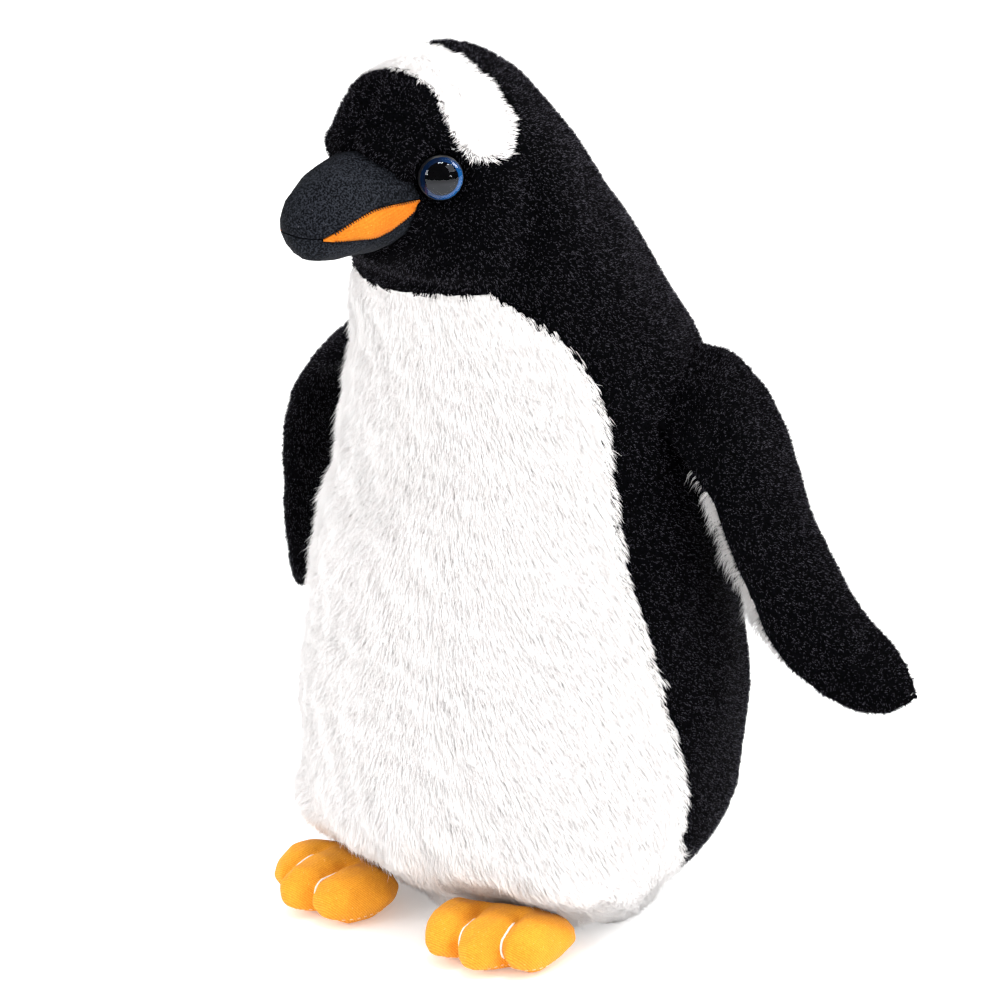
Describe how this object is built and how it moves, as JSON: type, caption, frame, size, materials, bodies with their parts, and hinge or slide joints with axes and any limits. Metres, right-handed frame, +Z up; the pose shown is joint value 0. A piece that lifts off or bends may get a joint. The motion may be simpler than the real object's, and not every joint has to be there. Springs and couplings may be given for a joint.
{
  "type": "plush penguin",
  "caption": "Standing plush penguin with a black back, white belly, white crown band, blue-ringed glossy eyes, a knit beak with orange flashes, hinged wings and toed orange feet.",
  "frame": {"origin": "on the ground under the middle of the body", "axes": "+Z up, the penguin faces -Y, its left side is +X"},
  "size_m": [0.2658, 0.1773, 0.296],
  "materials": {
    "black_plush": "short curled black pile",
    "white_plush": "long soft white pile",
    "black_knit": "fine smooth charcoal knit",
    "orange_knit": "fine ribbed orange knit",
    "stuffing": "white polyester fibre",
    "clear_plastic": "clear polished acrylic",
    "blue_paint": "blue paint behind a clear dome",
    "black_plastic": "black moulded plastic",
    "white_thread": "white sewing thread",
    "pouch_cloth": "plain woven cloth",
    "pellets": "small plastic pellets taken as one mass"
  },
  "bodies": {
    "body": {"side_panel_left": "black_plush", "side_panel_right": "black_plush", "belly_panel": "white_plush", "base_panel": "white_plush", "head_band": "white_plush", "torso_stuffing": "stuffing", "head_stuffing": "stuffing", "pellet_pouch": "pouch_cloth", "pellet_fill": "pellets", "beak_upper": "black_knit", "beak_lower": "black_knit", "beak_flash_left": "orange_knit", "beak_flash_right": "orange_knit", "beak_stuffing": "stuffing", "eye_left_dome": "clear_plastic", "eye_left_pupil": "black_plastic", "eye_left_iris": "blue_paint", "eye_left_backing": "black_plastic", "eye_left_washer": "black_plastic", "eye_right_dome": "clear_plastic", "eye_right_pupil": "black_plastic", "eye_right_iris": "blue_paint", "eye_right_backing": "black_plastic", "eye_right_washer": "black_plastic"},
    "wing_left": {"wing_left_outer": "black_plush", "wing_left_lining": "white_plush", "wing_left_stuffing": "stuffing"},
    "wing_right": {"wing_right_outer": "black_plush", "wing_right_lining": "white_plush", "wing_right_stuffing": "stuffing"},
    "foot_left": {"foot_left_upper": "orange_knit", "foot_left_sole": "orange_knit", "foot_left_stuffing": "stuffing", "foot_left_thread_inner": "white_thread", "foot_left_thread_outer": "white_thread"},
    "foot_right": {"foot_right_upper": "orange_knit", "foot_right_sole": "orange_knit", "foot_right_stuffing": "stuffing", "foot_right_thread_inner": "white_thread", "foot_right_thread_outer": "white_thread"}
  },
  "joints": [
    {"name": "wing_left_flap", "type": "hinge", "parent": "body", "child": "wing_left", "pos_m": [0.0541, 0.0174, 0.1877], "axis": [0.3538, -0.8886, -0.2919], "range_deg": [-4, 75]},
    {"name": "wing_right_flap", "type": "hinge", "parent": "body", "child": "wing_right", "pos_m": [-0.0541, 0.0174, 0.1877], "axis": [0.3538, 0.8886, 0.2919], "range_deg": [-4, 75]},
    {"name": "foot_left_fold", "type": "hinge", "parent": "body", "child": "foot_left", "pos_m": [0.0368, -0.029, 0.0055], "axis": [1, 0, 0], "range_deg": [0, 40]},
    {"name": "foot_right_fold", "type": "hinge", "parent": "body", "child": "foot_right", "pos_m": [-0.0368, -0.029, 0.0055], "axis": [1, 0, 0], "range_deg": [0, 40]}
  ]
}
